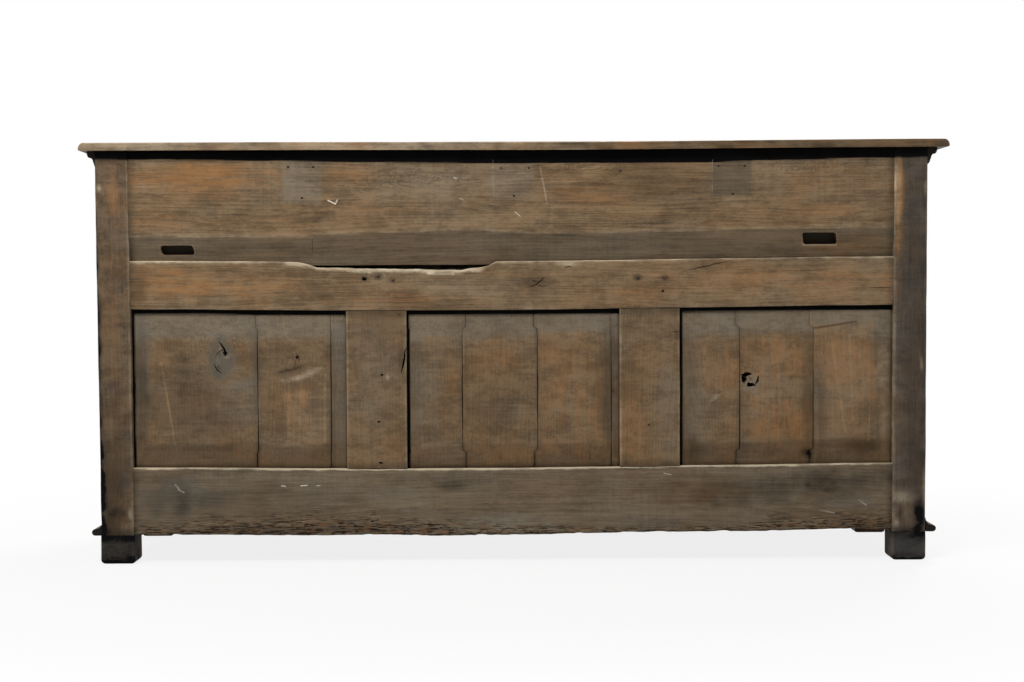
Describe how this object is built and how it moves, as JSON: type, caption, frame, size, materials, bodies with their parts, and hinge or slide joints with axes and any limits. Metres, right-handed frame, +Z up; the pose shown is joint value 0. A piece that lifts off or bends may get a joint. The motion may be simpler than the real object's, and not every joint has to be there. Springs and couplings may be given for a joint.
{
  "type": "dresser base",
  "caption": "Low oak dresser base with a panelled back, drawers over cupboard doors, a moulded top and stile feet.",
  "frame": {"origin": "middle of the footprint on the floor", "axes": "+Z up, +X to the right as seen from the front, -Y out of the drawers and doors, +Y out of the panelled back"},
  "size_m": [1.78, 0.505, 0.864],
  "materials": {
    "back_oak": "dry, unpolished, aged oak",
    "show_oak": "waxed dark oak",
    "lining_oak": "bare oak",
    "iron": "dark wrought iron"
  },
  "bodies": {
    "carcase": {"rear_post_left": "back_oak", "rear_post_right": "back_oak", "rear_foot_left": "back_oak", "rear_foot_right": "back_oak", "back_upper_panel": "back_oak", "back_middle_rail": "back_oak", "back_bottom_rail": "back_oak", "back_muntin_left": "back_oak", "back_muntin_right": "back_oak", "back_panel_left": "back_oak", "back_panel_centre": "back_oak", "back_panel_right": "back_oak", "top_front_board": "show_oak", "top_rear_board": "show_oak", "cornice_moulding": "show_oak", "base_moulding": "show_oak", "front_post_left": "show_oak", "front_post_right": "show_oak", "end_board_left": "show_oak", "end_board_right": "show_oak", "front_top_rail": "show_oak", "front_drawer_rail": "show_oak", "front_bottom_rail": "show_oak", "front_muntin_left": "show_oak", "front_muntin_right": "show_oak", "front_fixed_panel": "show_oak", "cupboard_floor": "lining_oak", "drawer_deck": "lining_oak", "door_left_pivot_pin": "iron", "door_right_pivot_pin": "iron"},
    "drawer_left": {"drawer_left_front": "show_oak", "drawer_left_side_left": "lining_oak", "drawer_left_side_right": "lining_oak", "drawer_left_back": "lining_oak", "drawer_left_bottom": "lining_oak", "drawer_left_knob": "show_oak"},
    "drawer_centre": {"drawer_centre_front": "show_oak", "drawer_centre_side_left": "lining_oak", "drawer_centre_side_right": "lining_oak", "drawer_centre_back": "lining_oak", "drawer_centre_bottom": "lining_oak", "drawer_centre_knob": "show_oak"},
    "drawer_right": {"drawer_right_front": "show_oak", "drawer_right_side_left": "lining_oak", "drawer_right_side_right": "lining_oak", "drawer_right_back": "lining_oak", "drawer_right_bottom": "lining_oak", "drawer_right_knob": "show_oak"},
    "door_left": {"door_left_hanging_stile": "show_oak", "door_left_closing_stile": "show_oak", "door_left_top_rail": "show_oak", "door_left_bottom_rail": "show_oak", "door_left_panel": "show_oak"},
    "door_right": {"door_right_hanging_stile": "show_oak", "door_right_closing_stile": "show_oak", "door_right_top_rail": "show_oak", "door_right_bottom_rail": "show_oak", "door_right_panel": "show_oak"},
    "latch_left": {"door_left_latch_knob": "show_oak"},
    "latch_right": {"door_right_latch_knob": "show_oak"}
  },
  "joints": [
    {"name": "drawer_left_slide", "type": "slide", "parent": "carcase", "child": "drawer_left", "axis": [0, -1, 0], "range_m": [0, 0.3]},
    {"name": "drawer_centre_slide", "type": "slide", "parent": "carcase", "child": "drawer_centre", "axis": [0, -1, 0], "range_m": [0, 0.3]},
    {"name": "drawer_right_slide", "type": "slide", "parent": "carcase", "child": "drawer_right", "axis": [0, -1, 0], "range_m": [0, 0.3]},
    {"name": "door_left_hinge", "type": "hinge", "parent": "carcase", "child": "door_left", "pos_m": [-0.766, -0.2055, 0.355], "axis": [0, 0, -1], "range_deg": [0, 95]},
    {"name": "door_right_hinge", "type": "hinge", "parent": "carcase", "child": "door_right", "pos_m": [0.766, -0.2055, 0.355], "axis": [0, 0, 1], "range_deg": [0, 95]},
    {"name": "latch_left_turn", "type": "hinge", "parent": "door_left", "child": "latch_left", "pos_m": [-0.33733, -0.2165, 0.355], "axis": [0, -1, 0], "range_deg": [0, 90]},
    {"name": "latch_right_turn", "type": "hinge", "parent": "door_right", "child": "latch_right", "pos_m": [0.33733, -0.2165, 0.355], "axis": [0, 1, 0], "range_deg": [0, 90]}
  ]
}
